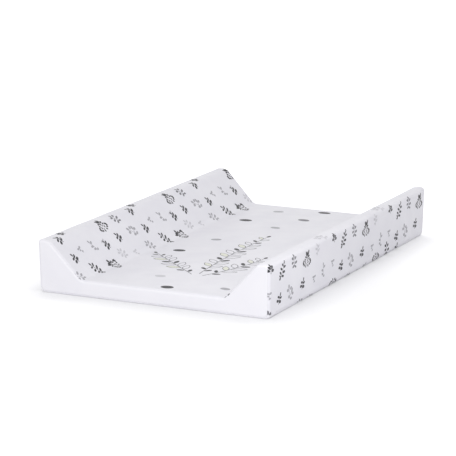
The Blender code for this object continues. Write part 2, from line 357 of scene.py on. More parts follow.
def foam_block(name, section_run, material):
    """A solid under a run of the skin, with upright sides where it has any and a flat foot."""
    depth = FILM_THICKNESS + CLEARANCE
    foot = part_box("base_board")[1].z + CLEARANCE
    roll = FLAT_HALF_LENGTH + END_ROLL_RADIUS * spaced(0, math.pi / 2, math.pi / 12)[1:]
    middle = spaced(-FLAT_HALF_LENGTH, FLAT_HALF_LENGTH, STATION_STEP)
    rings = []
    for station in np.concatenate([-roll[::-1], middle, roll]):
        inset = float(rolled(station, depth)[0])
        low = max(foot, inset)
        ring = list(mat_surface(section_run(inset, low), station, depth))
        for end in (0, -1):
            if ring[end][2] > low + CLEARANCE:
                ring.insert(0 if end == 0 else len(ring), np.array([*ring[end][:2], low]))
        ring += [ring[-1] + (ring[0] - ring[-1]) * share for share in (0.25, 0.5, 0.75)]
        rings.append(ring)
    around = len(rings[0])
    faces = ring_faces(len(rings), around)
    faces.append(tuple(reversed(range(around))))
    faces.append(tuple(range((len(rings) - 1) * around, len(rings) * around)))
    made = mesh_object(name, np.vstack(rings), faces, material)
    made.data.set_sharp_from_angle(angle=SHARP_EDGE)
    return made


def split_across(inset, distance_in):
    """Where on the section the upright cut between pad and bolster meets the fold."""
    turn = math.asin((FOLD_CENTRE_IN - distance_in) / (FOLD_RADIUS + inset))
    return FOLD_FOOT + turn * FOLD_RADIUS


def pad_run(inset, low):
    side = split_across(inset, BOLSTER_REACH + CLEARANCE / 2)
    half = np.concatenate([np.linspace(0, FOLD_FOOT, 9), np.linspace(FOLD_FOOT, side, 4)[1:]])
    return np.concatenate([-half[:0:-1], half])


def right_bolster_run(inset, low):
    side = split_across(inset, BOLSTER_REACH - CLEARANCE / 2)
    edge_radius = max(BOTTOM_EDGE_RADIUS - inset, LEAST_RADIUS)
    turn = math.acos(min(1.0, (inset + edge_radius - low) / edge_radius))
    foot = WALL_FOOT + BOTTOM_EDGE_RADIUS * (math.pi / 2 - turn)
    ends = [side, FOLD_HEAD, SHOULDER_FOOT, SHOULDER_HEAD, OUTER_EDGE, WALL_TOP, WALL_FOOT, foot]
    counts = [4, 8, 5, 2, 6, 6, 5]
    runs = [np.linspace(ends[place], ends[place + 1], count + 1)[1:] for place, count in enumerate(counts)]
    return np.concatenate([[side], *runs])


def left_bolster_run(inset, low):
    return -right_bolster_run(inset, low)[::-1]


foam = make_foam_material()
for foam_name, foam_run in (
    ("centre_foam", pad_run),
    ("left_bolster_foam", left_bolster_run),
    ("right_bolster_foam", right_bolster_run),
):
    foam_piece = foam_block(foam_name + "_block", foam_run, foam)
    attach(foam_piece, "root")
    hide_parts(foam_name)


# Printed cover
# One sheet of white film, printed all over, that lies over the foam from the seam at one bottom edge to
# the seam at the other. Its two ends roll over towards the end panels. Every seam is a weld of the
# film itself, which draws it into a fine groove with small puckers beside it.
END_SEAM_ANGLE = math.radians(70)
END_SEAM_ANGLE_ON_TOP = math.radians(48)
END_SEAM_TURN = 0.024
SEAM_ANGLE_ALONG_SIDE = math.radians(38)
SEAM_ANGLE_AT_CORNER = math.radians(76)
SEAM_SWEEP_LENGTH = 0.22
SEAM_GAP = 0.00005
SEAM_GROOVE = 0.0003
SEAM_GROOVE_WIDTH = 0.0012
END_SEAM = FLAT_HALF_LENGTH + END_ROLL_RADIUS * END_SEAM_ANGLE
SIDE_EDGE = WALL_FOOT + BOTTOM_EDGE_RADIUS * (math.pi / 2 - SEAM_ANGLE_ALONG_SIDE)

SLOW_WAVE_SEED = 11
SLOW_WAVES = 6
SLOW_WAVE_LENGTHS = (0.07, 0.16)
SLOW_WAVE_HEIGHT = 0.00009
SLOW_WAVE_FADE = 0.03
END_PUCKER_LENGTH = 0.014
END_PUCKER_HEIGHT = 0.00035
SIDE_PUCKER_LENGTH = 0.019
SIDE_PUCKER_HEIGHT = 0.00025
CORNER_PUCKER_HEIGHT = 0.0006
PUCKER_REACH = 0.011
FOOT_FADE = 0.008
SAME_POINT = 1e-7

# How the puckers' spacing and strength vary along a weld, as (amount, radians per metre)
END_DRIFT = (3, 37)
END_UNEVEN = (0.45, 21)
SIDE_DRIFT = (4, 19)
SIDE_UNEVEN = (0.4, 43)

wave_maker = random.Random(SLOW_WAVE_SEED)
slow_waves = []
for wave_number in range(SLOW_WAVES):
    heading = wave_maker.uniform(0, math.pi)
    steepness = 2 * math.pi / wave_maker.uniform(*SLOW_WAVE_LENGTHS)
    phase = wave_maker.uniform(0, 2 * math.pi)
    slow_waves.append((steepness * math.cos(heading), steepness * math.sin(heading), phase))


def into_sweep(along):
    """0 where the side seam runs low along the side, and 1 at the corners, where it has climbed."""
    y = np.abs(rolled(along, 0)[1])
    return eased((y - MAT_LENGTH / 2 + SEAM_SWEEP_LENGTH) / SEAM_SWEEP_LENGTH)


def side_seam(along):
    """How far out from the middle of the pad the seam with the bottom film lies, along the section."""
    climb = (SEAM_ANGLE_AT_CORNER - SEAM_ANGLE_ALONG_SIDE) * into_sweep(along)
    return WALL_FOOT + BOTTOM_EDGE_RADIUS * (math.pi / 2 - SEAM_ANGLE_ALONG_SIDE - climb)


def end_seam(across):
    """How far along the mat the seam with an end panel lies: further round the end beside the walls."""
    beside_wall = eased((np.abs(across) - OUTER_EDGE + END_SEAM_TURN / 3) / END_SEAM_TURN)
    angle = END_SEAM_ANGLE_ON_TOP + (END_SEAM_ANGLE - END_SEAM_ANGLE_ON_TOP) * beside_wall
    return FLAT_HALF_LENGTH + END_ROLL_RADIUS * angle


def puckers(turn, height, to_seam):
    return height * (0.5 + 0.5 * np.sin(turn)) * np.exp(-to_seam / PUCKER_REACH)


def film_relief(across, along):
    """How far the welded film stands off the plain form: slow waves, puckers, and a groove on each seam."""
    to_end = np.abs(np.abs(along) - end_seam(across))
    to_side = np.abs(np.abs(across) - side_seam(along))
    inside = np.clip((side_seam(along) - np.abs(across)) / SLOW_WAVE_FADE, 0, 1)
    clear = inside * np.clip(to_end / SLOW_WAVE_FADE, 0, 1)
    slow = sum(np.sin(a * across + b * along + phase) for a, b, phase in slow_waves) * SLOW_WAVE_HEIGHT

    end_turn = 2 * math.pi * across / END_PUCKER_LENGTH + END_DRIFT[0] * np.sin(END_DRIFT[1] * across)
    end_strength = 1 - END_UNEVEN[0] + END_UNEVEN[0] * np.sin(END_UNEVEN[1] * across + np.sign(along))
    end_pucker = puckers(end_turn, END_PUCKER_HEIGHT * end_strength, to_end)

    corner = into_sweep(along)
    side_drift = SIDE_DRIFT[0] * np.sin(SIDE_DRIFT[1] * along + np.sign(across))
    side_turn = 2 * math.pi * along / SIDE_PUCKER_LENGTH + side_drift
    side_height = SIDE_PUCKER_HEIGHT + (CORNER_PUCKER_HEIGHT - SIDE_PUCKER_HEIGHT) * corner
    side_strength = 1 - SIDE_UNEVEN[0] + SIDE_UNEVEN[0] * np.sin(SIDE_UNEVEN[1] * along)
    side_pucker = puckers(side_turn, side_height * side_strength, to_side)

    standing = np.clip((EDGE_FOOT - np.abs(across)) / FOOT_FADE, 0, 1)
    raised = np.clip((np.abs(along) - FLAT_HALF_LENGTH) / (end_seam(across) - FLAT_HALF_LENGTH), 0, 1)
    room = np.maximum(standing, raised) ** 2
    groove = np.exp(-((np.minimum(to_end, to_side) / SEAM_GROOVE_WIDTH) ** 2))
    return slow * clear + (end_pucker + side_pucker) * room - SEAM_GROOVE * groove


def facing(surface, across, along, step=0.00015):
    """Unit normals of a surface, outward, from its slope either way."""
    across_way = surface(across + step, along) - surface(across - step, along)
    along_way = surface(across, along + step) - surface(across, along - step)
    normal = np.cross(across_way, along_way)
    return normal / np.maximum(np.linalg.norm(normal, axis=-1, keepdims=True), 1e-12)


def film_surface(across, along):
    """The skin of the mat with its relief."""
    plain = mat_surface(across, along)
    return pressed(plain + facing(mat_surface, across, along) * film_relief(across, along)[..., None])


def end_stretch(across):
    return (end_seam(across) - FLAT_HALF_LENGTH) / (END_SEAM - FLAT_HALF_LENGTH)


def foot_stretch(along):
    return (SIDE_EDGE - WALL_FOOT) / (side_seam(along) - WALL_FOOT)


def stretched(value, border, factor):
    """A value with the part of it that lies beyond a border, on either side, stretched by a factor."""
    return value + np.sign(value) * np.maximum(np.abs(value) - border, 0) * (factor - 1)


def to_places(across, along):
    """Places on the film, stretched at its ends and foot so that each seam is one straight line."""
    place_along = stretched(along, FLAT_HALF_LENGTH, 1 / end_stretch(across))
    return np.stack([stretched(across, WALL_FOOT, foot_stretch(along)), place_along], axis=-1)


def from_places(places):
    """(across, along) of places on the stretched film."""
    place_across, place_along = np.moveaxis(places, -1, 0)
    along = stretched(place_along, FLAT_HALF_LENGTH, end_stretch(place_across))
    return stretched(place_across, WALL_FOOT, 1 / foot_stretch(along)), along


def grid(columns, rows):
    """Every pair of a column and a row, as an array of points."""
    return np.stack(np.meshgrid(columns, rows), axis=-1).reshape(-1, 2)


def joined(*runs):
    """Runs that follow on from each other, as one, without the repeats where they meet."""
    return np.concatenate([runs[0]] + [run[1:] for run in runs[1:]])


def mirrored(half):
    """A run that starts at 0, with its own mirror image before it."""
    return np.concatenate([-half[:0:-1], half])


def triangulate(points, outlines=()):
    """Points, triangles and each one's outlines, over points in the flat with the outlines' edges kept."""
    every = [Vector(p) for p in points]
    loops = []
    for outline in outlines:
        loops.append(list(range(len(every), len(every) + len(outline))))
        every.extend(Vector(p) for p in outline)
    found = delaunay_2d_cdt(every, [], loops, 0, SAME_POINT)
    return np.array([tuple(p) for p in found[0]]), np.array(found[2]), found[5]


def shell(name, points, normals, faces, material, outside=0.0, inside=-FILM_THICKNESS):
    """A thin closed sheet on both sides of a surface, with its edges closed."""
    used = sorted({int(v) for face in faces for v in face})
    number = {old: new for new, old in enumerate(used)}
    faces = [tuple(number[v] for v in face) for face in faces]
    points = np.asarray(points)[used]
    normals = np.asarray(normals)[used]
    count = len(used)
    edges = {(face[place - 1], face[place]) for face in faces for place in range(len(face))}
    rim = [(b, a, a + count, b + count) for a, b in sorted(edges) if (b, a) not in edges]
    under = [tuple(v + count for v in reversed(face)) for face in faces]
    both = np.vstack([points + normals * outside, points + normals * inside])
    return mesh_object(name, both, faces + under + rim, material, np.vstack([normals, -normals]))


# The mesh is wide on the flat parts, finer on the bends, and finest in bands beside the welds
FINE = 0.0025
BEND_STEP = 0.002
SHOULDER_STEP = 0.0012
EDGE_STEP = 0.0009
EDGE_FOOT_STEP = 0.0014
SEAM_STEP = 0.0006
SEAM_NEAR = 0.003
END_SEAM_NEAR = 0.0024
END_ROLL_STEP = 0.001
WALL_BAND = 0.018
SIDE_BAND_WIDTH = 0.015
END_BAND_WIDTH = 0.016
MIDDLE_FROM_END = 0.020
MIDDLE_STEP = 0.008


def half_section(pad, slope, top, wall):
    """Places from the middle of the pad down to the side band, with these steps on the flat parts."""
    return joined(
        spaced(0, FOLD_FOOT, pad),
        spaced(FOLD_FOOT, FOLD_HEAD, BEND_STEP),
        spaced(FOLD_HEAD, SHOULDER_FOOT, slope),
        spaced(SHOULDER_FOOT, SHOULDER_HEAD, SHOULDER_STEP),
        spaced(SHOULDER_HEAD, OUTER_EDGE, top),
        spaced(OUTER_EDGE, WALL_TOP, EDGE_STEP),
        spaced(WALL_TOP, WALL_FOOT - WALL_BAND, wall),
    )


SECTION_HALF = half_section(pad=0.009, slope=0.008, top=0.004, wall=0.007)
FINE_HALF = half_section(pad=FINE, slope=FINE, top=FINE, wall=FINE)
SIDE_BAND = joined(
    spaced(WALL_FOOT - SIDE_BAND_WIDTH, WALL_FOOT, SEAM_NEAR),
    spaced(WALL_FOOT, SIDE_EDGE - SEAM_NEAR, EDGE_FOOT_STEP),
    spaced(SIDE_EDGE - SEAM_NEAR, SIDE_EDGE - SEAM_GAP, SEAM_STEP),
)
END_BAND = joined(
    spaced(FLAT_HALF_LENGTH - END_BAND_WIDTH, FLAT_HALF_LENGTH - SEAM_NEAR, BEND_STEP),
    spaced(FLAT_HALF_LENGTH - SEAM_NEAR, FLAT_HALF_LENGTH, END_ROLL_STEP),
    spaced(FLAT_HALF_LENGTH, END_SEAM - END_SEAM_NEAR, END_ROLL_STEP),
    spaced(END_SEAM - END_SEAM_NEAR, END_SEAM - SEAM_GAP, SEAM_STEP),
)
MIDDLE_ROWS = mirrored(spaced(0, FLAT_HALF_LENGTH - MIDDLE_FROM_END, MIDDLE_STEP))
FINE_ROWS = mirrored(joined(spaced(0, FLAT_HALF_LENGTH - END_BAND_WIDTH, FINE), END_BAND))
END_ROWS = np.concatenate([-END_BAND[::-1], END_BAND])

cover_places = np.vstack(
    [
        grid(mirrored(SECTION_HALF), MIDDLE_ROWS),
        grid(mirrored(FINE_HALF), END_ROWS),
        grid(SIDE_BAND, FINE_ROWS),
        grid(-SIDE_BAND, FINE_ROWS),
    ]
)
cover_places = np.unique(np.round(cover_places, 7), axis=0)


# The grain is drawn coarser than that of real film, so that it can show at all
FILM_GRAIN_MM = 0.9
FILM_CLOUD_MM = 60
FILM_WIPE_MM = 25
NOISE_LOW = 0.3
NOISE_HIGH = 0.7
PRINTED_WHITE = "e9e8ee"
PRINTED_WHITE_FAINT = "e4e3ea"


def finish_skin(material, surface, wear, roughness, grain, strength, depth):
    """Lets the roughness go from its least to its most with the wear, and lifts the grain by its depth."""
    span = {"From_Min": NOISE_LOW, "From_Max": NOISE_HIGH, "To_Min": roughness[0], "To_Max": roughness[1]}
    spread = add_node(material, "MapRange", {"Value": wear}, **span)
    feed(material, spread.outputs["Result"], surface, "Roughness")
    relief = add_node(material, "Bump", {"Height": grain}, Strength=strength, Distance=depth)
    feed(material, relief.outputs["Normal"], surface, "Normal")


def make_film(name, colour, faint):
    """Calendered PVC film, wiped clean: satin, with a faint grain and hardly any change of tint."""
    material, surface = new_material(name, colour, roughness=0.42)
    surface.inputs["IOR"].default_value = 1.53
    cloud = noise_of_size(material, FILM_CLOUD_MM)
    tint_between(material, surface, cloud, NOISE_LOW, NOISE_HIGH, faint, colour)
    wiped = noise_of_size(material, FILM_WIPE_MM, detail=4)
    grain = noise_of_size(material, FILM_GRAIN_MM, detail=3)
    finish_skin(material, surface, wiped, (0.36, 0.5), grain, strength=0.25, depth=0.00005)
    return material


cover_points, cover_faces = triangulate(cover_places)[:2]
cover_across, cover_along = from_places(cover_points)
printed_cover = shell(
    "printed_cover_film",
    film_surface(cover_across, cover_along),
    facing(film_surface, cover_across, cover_along),
    cover_faces,
    make_film("calendered_printed_film", PRINTED_WHITE, PRINTED_WHITE_FAINT),
)
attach(printed_cover, "root")
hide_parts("printed_cover")


# Print
# Ink rolled on to the film in one pass, in near-black, three greys and a pale green, all the one way up:
# a scatter of small sprigs over the bolsters and outer walls, and on the pad loose petals round a
# spray of long fronds.
INK_LIFT = 0.0001
INK_UNDER = 0.00002
INK_MOTTLE_MM = 1.5
STEM_WIDTH = 1.4
STEM_TIP_WIDTH = 1.0
STROKE_OVERLAP = 0.15
INK_COLOURS = {"pale": "cbcad0", "green": "e2e3d6", "light": "a8a7ad", "grey": "79787e", "dark": "302f34"}


# Outlines are lists of complex numbers in millimetres, with the tips up
def turned(outline, foot=0, heading=0.0):
    """An outline that lies along +x, laid from a foot in a heading in degrees, 90 being up."""
    turn = complex(math.cos(math.radians(heading)), math.sin(math.radians(heading)))
    return [foot + point * turn for point in outline]


def leaf(foot, heading, length, width, steps=6):
    """Pointed at both ends."""
    shares = [step / steps for step in range(1, steps)]
    half = [width / 2 * (1 - (2 * share - 1) ** 2) for share in shares]
    lower = [complex(length * share, -h) for share, h in zip(shares, half)]
    upper = [complex(length * share, h) for share, h in zip(shares, half)]
    return turned([0, *lower, complex(length, 0), *reversed(upper)], foot, heading)


def petal(foot, heading, length, width, sides=12):
    """Round at both ends."""
    corners = [2 * math.pi * side / sides for side in range(sides)]
    outline = [complex(length / 2 * (1 + math.cos(a)), width / 2 * math.sin(a)) for a in corners]
    return turned(outline, foot, heading)


def bent_line(foot, heading, length, bend, steps=6):
    """Points along a stem that starts in a heading and turns through bend degrees."""
    points = [foot]
    for step in range(steps):
        way = math.radians(heading + bend * (step + 0.5) / steps)
        points.append(points[-1] + length / steps * complex(math.cos(way), math.sin(way)))
    return points


def stroke(points, width, end_width=None):
    """Short four-sided pieces along a line, which narrows to its end width."""
    end_width = width if end_width is None else end_width
    pieces = []
    for place, (here, there) in enumerate(zip(points, points[1:])):
        way = (there - here) / abs(there - here)
        start = 1j * way * (width + (end_width - width) * place / (len(points) - 1)) / 2
        end = 1j * way * (width + (end_width - width) * (place + 1) / (len(points) - 1)) / 2
        tail = there + way * width * STROKE_OVERLAP
        pieces.append([here - start, tail - end, tail + end, here + start])
    return pieces


def heading_at(points, place):
    step = points[min(place + 1, len(points) - 1)] - points[max(place - 1, 0)]
    return math.degrees(math.atan2(step.imag, step.real))


def crown(middle, wide, high, count, length, width):
    """Short leaves that stand out all round an oval."""
    found = []
    for number in range(count):
        angle = 2 * math.pi * (number + 0.3) / count
        x = wide * math.cos(angle)
        y = high * math.sin(angle)
        heading = math.degrees(math.atan2(y, x))
        found.append((middle[0] + x, middle[1] + y, heading, length, width))
    return found


# Each sprig's stems as (x, y, heading, length, bend)
STEMS = {
    "bud": [(0, -10, 90, 9, 0)],
    "spray": [(-7, -14, 52, 31, 32)],
    "berries": [(3, -12, 104, 20, 16)],
    "bush": [(0, -5, 90, 12, 0)],
    "wreath": [(-3, 0, 20, 6, 20)],
    "fern": [(0, -13, 96, 22, -12)],
    "twig": [(0, -8, 92, 13, -6)],
    "leaning": [(-4, -12, 62, 17, 18)],
    "tall": [(0, -14, 88, 24, 8)],
    "broad": [(2, -15, 100, 24, 10), (2, -6, 40, 9, 20)],
}

# Each sprig's leaves as (x, y, heading, length, width)
LEAVES = {
    "bud": [
        (-2, -4, 176, 9, 6), (2, -4, 4, 9, 6), (-1, -1, 130, 9.5, 5.5), (1, -1, 50, 9.5, 5.5),
        (0, 3, 90, 8, 4.5),
    ],
    "spray": [
        (-13, -17, 20, 7, 5), (-7, -12, 158, 7, 4), (-3, -11, -6, 10, 5), (-5, -7, 150, 9, 5),
        (1, -4, 2, 10.5, 5.4), (-1, 1, 158, 10, 5), (4, 5, 16, 9, 5), (2, 8, 142, 8, 4.4),
        (4, 11, 72, 8, 4.4),
    ],
    "berries": [
        (-2, 7, 96, 8, 5), (-4, 5, 158, 9, 5.5), (0, 4, 24, 9, 5.5), (-3, -2, 182, 8.5, 5.5),
        (3, -4, 8, 10, 5.5), (1, -8, 206, 8.5, 5), (3, -10, -24, 8, 4.6),
    ],
    "bush": [
        (-2, 1, 118, 11, 5), (3, 1, 74, 12.5, 5.4), (0, 0, 96, 10, 4.4), (-3, -1, 168, 7, 4),
        (3, -1, 16, 8, 4.2), *crown((0, -11), 14, 5, 13, 6, 4), *crown((-1, -11), 5, 1.6, 6, 4, 2.6),
    ],
    "wreath": [*crown((0, 0), 12.5, 4.5, 12, 6, 4), *crown((1, 0), 4, 1.2, 4, 4, 2.6)],
    "fern": [
        (0, -9, 160, 8, 4.4), (0, -5, 26, 10, 5), (-1, 0, 158, 11, 5), (0, 3, 30, 9, 4.6),
        (-1, 7, 130, 8, 4.6),
    ],
    "twig": [(0, -6, 20, 5, 3.4), (0, -1, 166, 5, 3.4), (0, 4, 172, 8, 4.6), (0, 4, 12, 8, 4.6)],
    "leaning": [
        (-3, -7, -8, 10.5, 6.5), (-3, -5, 176, 10, 6), (1, -1, 8, 9, 5), (0, 1, 164, 9, 5),
        (3, 3, 76, 7.5, 4.4),
    ],
    "tall": [
        (0, -13, 14, 7, 4.4), (0, -9, 160, 8, 5), (0, -1, 166, 9, 5), (0, 5, 20, 9, 5), (0, 8, 100, 8, 4.4),
    ],
    "broad": [
        (-5, 5, 172, 10, 6.5), (-4, 8, 104, 9, 6.5), (0, 6, 22, 9, 6), (7, -2, 60, 10, 6.5),
        (8, -4, -4, 9, 6), (1, -9, 168, 9, 6.5), (2, -13, 8, 8, 5),
    ],
}


def drawn(name):
    """A sprig's outlines in millimetres, with its tips up."""
    shapes = []
    for x, y, heading, length, bend in STEMS[name]:
        stem = bent_line(complex(x, y), heading, length, bend, steps=4)
        shapes += stroke(stem, STEM_WIDTH, STEM_TIP_WIDTH)
    for x, y, heading, length, width in LEAVES[name]:
        shapes.append(petal(complex(x, y), heading, length, width))
    return shapes


def laid(shapes, across, along, turn):
    """Shapes laid on the film with their tips towards the left, turned by a few degrees."""
    return [turned(shape, complex(across, along), 90 + turn) for shape in shapes]


def cut_back(shape, way, limit):
    """The part of a convex outline that lies short of a limit in one direction."""
    kept = []
    for before, here in zip([shape[-1], *shape[:-1]], shape):
        over_before = (before * way.conjugate()).real - limit
        over_here = (here * way.conjugate()).real - limit
        if (over_before > 0) != (over_here > 0):
            kept.append(before + (here - before) * over_before / (over_before - over_here))
        if over_here <= 0:
            kept.append(here)
    return kept


# Sprigs as (name, tone, across, along, turn). The roll that prints them is SPRIG_REPEAT round.
SPRIG_REPEAT = 297
SPRIG_PLACES = (
    ("bud", "dark", 284, -394, 0), ("spray", "dark", 297, -344, -4), ("berries", "grey", 291, -291, 0),
    ("bush", "dark", 295, -229, -4), ("fern", "pale", 291, -179, 4), ("broad", "pale", 268, -139, 40),
    ("leaning", "dark", 349, -354, 0), ("broad", "light", 349, -306, 0), ("leaning", "dark", 344, -246, 4),
    ("twig", "light", 348, -192, 0), ("tall", "light", 340, -147, 0), ("twig", "light", 336, -101, 0),
    ("bush", "dark", 206, -310, 12), ("fern", "light", 203, -236, -10), ("spray", "dark", 212, -176, 0),
    ("twig", "light", 207, -118, 8), ("leaning", "dark", 160, -340, 10), ("broad", "light", 163, -282, 0),
    ("berries", "grey", 158, -225, 0), ("tall", "light", 165, -164, 12), ("bud", "dark", 161, -108, 0),
    ("bush", "dark", -248, -204, 14), ("berries", "grey", -246, -142, 24),
    ("leaning", "dark", -250, -72, 60), ("bud", "dark", -264, -38, 30), ("twig", "pale", -207, -239, 20),
    ("leaning", "dark", -207, -182, 50), ("broad", "light", -206, -120, 34),
    ("leaning", "dark", -202, -70, 48), ("twig", "light", -212, -32, 20), ("tall", "light", -210, 15, 22),
    ("leaning", "dark", -202, 59, 50), ("bush", "dark", -159, -270, 50),
    ("berries", "pale", -172, -207, 24), ("twig", "pale", -161, -160, 10),
    ("berries", "light", -164, -97, 26), ("spray", "dark", -164, -30, 52), ("bud", "dark", -300, -268, 0),
    ("fern", "pale", -296, -214, 6), ("leaning", "dark", -299, -160, 10), ("twig", "light", -297, -120, 0),
    ("berries", "grey", -300, -52, 4), ("bush", "dark", -346, -240, 0), ("tall", "light", -342, -180, -8),
    ("spray", "dark", -346, -126, 0), ("broad", "pale", -344, -66, 10), ("bud", "dark", -340, -12, 0),
    ("leaning", "dark", -380, -200, 0), ("bud", "dark", -380, -142, 12), ("berries", "grey", -382, -86, 0),
)

# The lowest row on the right is cut off by the seam, and not everywhere at the same height
FOOT_SPRIGS = (
    ("bud", "grey", 374.5, -398.5, 10), ("wreath", "dark", 382, -254, 0), ("wreath", "grey", 384, -203, 0),
    ("bud", "dark", 388, -134, 0), ("wreath", "dark", 377, -94, 0), ("wreath", "dark", 384, -16, 0),
    ("bud", "dark", 387, 33, 0), ("bush", "light", 384, 70, 0), ("wreath", "dark", 372.5, 128, 0),
    ("berries", "dark", 366, 188, 0), ("leaning", "dark", 376, 243, 0),
)

print_shapes = []
for places, repeats in ((FOOT_SPRIGS, [0]), (SPRIG_PLACES, range(-2, 4))):
    for name, tone, across, along, turn in places:
        for repeat in repeats:
            sprig = laid(drawn(name), across, along + repeat * SPRIG_REPEAT, turn)
            print_shapes += [(tone, shape) for shape in sprig]

PETAL_SHAPE = 0.66
# Petals on the pad as (tone, across, along, heading, length)
LOOSE_PETALS = [
    ("dark", 22, -378, 4, 27), ("light", 129, -338, -12, 22), ("pale", -28, -310, 4, 23),
    ("dark", -94, -96, -4, 28), ("light", -67, 19, 8, 23), ("dark", -94, 222, -4, 30),
    ("light", -67, 331, 10, 24), ("grey", 22, 272, -8, 27), ("dark", 28, 367, 5, 28),
    ("light", -1, 175, -10, 23),
]
for tone, across, along, heading, length in LOOSE_PETALS:
    foot = complex(across - length / 2, along)
    print_shapes.append((tone, petal(foot, heading, length, length * PETAL_SHAPE, sides=16)))


RIB_WIDTH = 1.9
RIB_TIP_WIDTH = 1.2
LEAF_LINE_WIDTH = 1.5
LEAF_TURN = 44
SOLID_LEAF_GAP = 2.5
LEAF_SIZE_AT_FOOT = 0.24
LEAF_SIZE_RISE = 0.6


def long_frond(foot, heading, length, bend, pairs, longest):
    """A long bent stem: every third pair of leaves is solid, the others are drawn in line."""
    rib = bent_line(foot, heading, length, bend, steps=4 * pairs)
    shapes = [("grey", piece) for piece in stroke(rib, RIB_WIDTH, RIB_TIP_WIDTH)]
    for pair in range(1, pairs):
        size = longest * math.sin(math.pi * (LEAF_SIZE_AT_FOOT + LEAF_SIZE_RISE * pair / pairs))
        for side in (-1, 1):
            place = 4 * pair + side
            way = heading_at(rib, place) + side * LEAF_TURN
            if pair % 3 == 1:
                start = turned([SOLID_LEAF_GAP], rib[place], way)[0]
                shapes.append(("dark", petal(start, way, size * 0.6, size * 0.27)))
                continue
            blade = leaf(rib[place], way, size, size * 0.4, steps=8)
            if pair % 3 == 2 and side == 1:
                shapes.append(("green", blade))
            shapes += [("grey", piece) for piece in stroke([*blade, blade[0]], LEAF_LINE_WIDTH)]
    shapes.append(("dark", petal(rib[-1], heading_at(rib, len(rib) - 1), longest * 0.4, longest * 0.2)))
    return shapes


print_shapes += long_frond(complex(22, -272), 139, 205, -4, 8, 34)
print_shapes += long_frond(complex(34, -262), 96, 345, -8, 12, 36)
print_shapes += long_frond(complex(46, -272), 64, 190, 22, 7, 34)

tones = list(INK_COLOURS)
outlines = []
outline_tones = []
for tone, shape in print_shapes:
    places = to_places(*(MILLIMETRE * np.array([(point.real, point.imag) for point in shape]).T))
    shape = [complex(*place) for place in places]
    for way, limit in ((1, SIDE_EDGE), (-1, SIDE_EDGE), (1j, END_SEAM), (-1j, END_SEAM)):
        shape = cut_back(shape, complex(way), limit - 4 * SEAM_GAP) if len(shape) > 2 else []
    if len(shape) > 2:
        outlines.append([(point.real, point.imag) for point in shape])
        outline_tones.append(tones.index(tone))

print_points, print_faces, inked = triangulate(cover_places, outlines)
top_tone = np.array([max((outline_tones[i] for i in over), default=-1) for over in inked])
print_across, print_along = from_places(print_points)
ink_points = film_surface(print_across, print_along)
ink_normals = facing(film_surface, print_across, print_along)


def make_ink(name, colour):
    """Solvent ink on film: flat, opaque, and a little less glossy where it went on thin."""
    material, surface = new_material(name, colour, roughness=0.5)
    surface.inputs["IOR"].default_value = 1.5
    thin = noise_of_size(material, INK_MOTTLE_MM, detail=3)
    finish_skin(material, surface, thin, (0.42, 0.6), thin, strength=0.2, depth=0.00003)
    return material


for place, tone in enumerate(tones):
    print_piece = shell(
        "print_" + tone,
        ink_points,
        ink_normals,
        print_faces[top_tone == place],
        make_ink(tone + "_ink", INK_COLOURS[tone]),
        outside=INK_LIFT,
        inside=INK_UNDER,
    )
    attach(print_piece, "root")


# End panels
# A U-shaped panel of plain white film at each short end, cut from the same calendered film. Its rim
# turns over all round to the weld, and the foam behind it pushes its face out a little.
PILLOW_HEIGHT = 0.0012
PILLOW_REACH = 0.025
PANEL_STEP = 0.008
PANEL_RIM_CLEAR = 0.004
RIM_FINE_SHARE = 0.15
PLAIN_WHITE = "edecf1"
PLAIN_WHITE_FAINT = "ebeaf0"

white_film = make_film("calendered_white_film", PLAIN_WHITE, PLAIN_WHITE_FAINT)
rim_half = joined(
    FINE_HALF,
    spaced(WALL_FOOT - WALL_BAND, WALL_FOOT, FINE),
    spaced(WALL_FOOT, EDGE_FOOT, EDGE_FOOT_STEP),
    spaced(EDGE_FOOT, HALF_GIRTH, FINE),
)
rim_run = mirrored(rim_half)[:-1]


def area_normals(points, faces):
    """Vertex normals from the faces round each vertex, the large ones counting most."""
    normals = np.zeros_like(points)
    for face in faces:
        for corner in range(1, len(face) - 1):
            fan = [face[0], face[corner], face[corner + 1]]
            first, second, third = points[fan]
            normals[fan] += np.cross(second - first, third - first)
    return normals / np.maximum(np.linalg.norm(normals, axis=1, keepdims=True), 1e-15)


def distance_from(outline, points):
    """How far each point lies from the nearest corner of an outline."""
    return np.linalg.norm(points[:, None] - outline[None], axis=-1).min(axis=1)


def panel_face(outline, end):
    """Points and triangles that close an outline, swollen outwards, and each point's corners of it."""
    flat_outline = outline[:, [0, 2]]
    inner = grid(spaced(-MAT_WIDTH / 2, MAT_WIDTH / 2, PANEL_STEP), spaced(0, BOLSTER_HEIGHT, PANEL_STEP))
    inner = inner[distance_from(flat_outline, inner) > PANEL_RIM_CLEAR]
    every = [Vector(p) for p in flat_outline] + [Vector(p) for p in inner]
    found = delaunay_2d_cdt(every, [], [list(reversed(range(len(outline))))], 1, SAME_POINT)
    flat = np.array([tuple(p) for p in found[0]])
    gap = distance_from(flat_outline, flat)
    points = settled(np.stack([flat[:, 0], np.full(len(flat), end * MAT_LENGTH / 2), flat[:, 1]], axis=-1))
    points[:, 1] += end * PILLOW_HEIGHT * (1 - np.exp(-((gap / PILLOW_REACH) ** 2)))
    return pressed(points), found[2], found[3]


